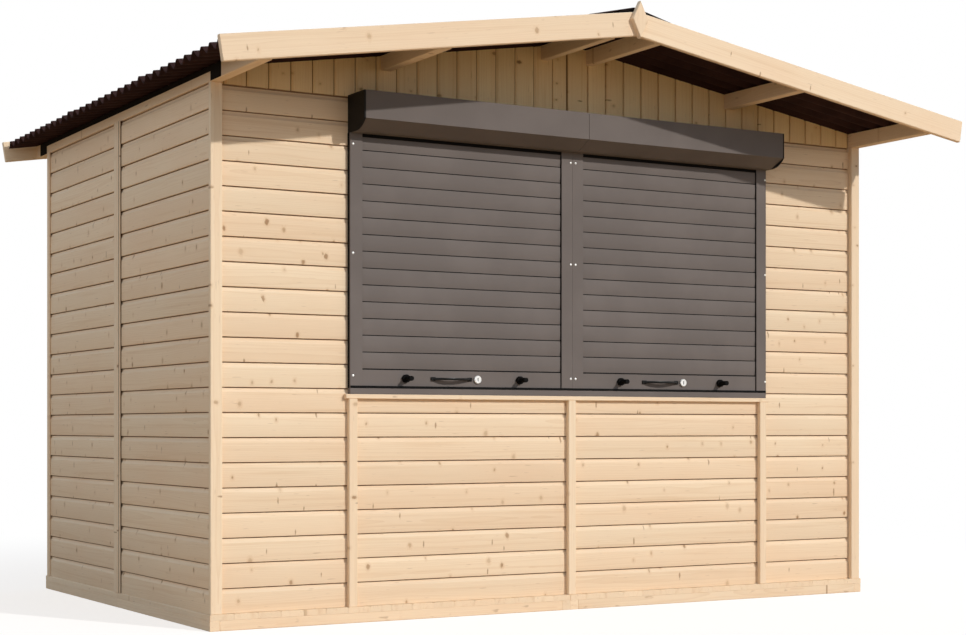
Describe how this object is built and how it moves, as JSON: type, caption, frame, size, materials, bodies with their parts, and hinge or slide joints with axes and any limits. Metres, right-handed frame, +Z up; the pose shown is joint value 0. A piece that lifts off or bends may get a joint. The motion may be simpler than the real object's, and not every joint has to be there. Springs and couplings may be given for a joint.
{
  "type": "wooden garden shed",
  "caption": "Panel-built wooden garden shed with a low gable roof of corrugated sheets and a serving front closed by roller shutters.",
  "frame": {"origin": "middle of the shed's floor, on the ground under its joists, halfway between the side walls' faces and the corner strips' front and back faces", "axes": "+X to the right along the serving front, +Y from the serving front to the back, along the ridge, +Z up"},
  "size_m": [3.272, 2.593, 2.2681],
  "materials": {
    "spruce": "planed spruce, unpainted",
    "floor_timber": "sawn softwood, weathered",
    "bitumen_sheet": "dark brown bitumen sheet, matt",
    "shutter_metal": "brown-grey coil coating, satin",
    "black_plastic": "black, matt",
    "lock_metal": "satin nickel",
    "stop_rubber": "black, matt"
  },
  "bodies": {
    "root": {"front_panel_left": "spruce", "front_panel_right": "spruce", "front_breasts": "spruce", "left_wall": "spruce", "right_wall": "spruce", "back_wall": "spruce", "wall_studs": "spruce", "wall_rails": "spruce", "window_posts": "spruce", "window_lintels": "spruce", "window_ledge": "spruce", "corner_strips": "spruce", "cover_battens": "spruce", "side_strips": "spruce", "front_gable": "spruce", "back_gable": "spruce", "gable_rails": "spruce", "eave_purlins": "spruce", "roof_purlins": "spruce", "barge_boards_front": "spruce", "barge_boards_back": "spruce", "diamond_plates": "spruce", "floor_joists_left": "floor_timber", "floor_joists_right": "floor_timber", "floor_rims": "floor_timber", "floor_deck": "floor_timber", "roof_sheet_left_front": "bitumen_sheet", "roof_sheet_left_middle": "bitumen_sheet", "roof_sheet_left_back": "bitumen_sheet", "roof_sheet_right_front": "bitumen_sheet", "roof_sheet_right_middle": "bitumen_sheet", "roof_sheet_right_back": "bitumen_sheet", "ridge_cap": "bitumen_sheet", "window_sill": "shutter_metal", "shutter_box_left": "shutter_metal", "shutter_box_right": "shutter_metal", "guides_left": "shutter_metal", "guides_right": "shutter_metal", "shutter_curtains": "shutter_metal", "bottom_bars": "shutter_metal", "pull_handles": "black_plastic", "end_caps": "black_plastic", "shutter_locks": "lock_metal", "shutter_stops": "stop_rubber"}
  },
  "joints": []
}
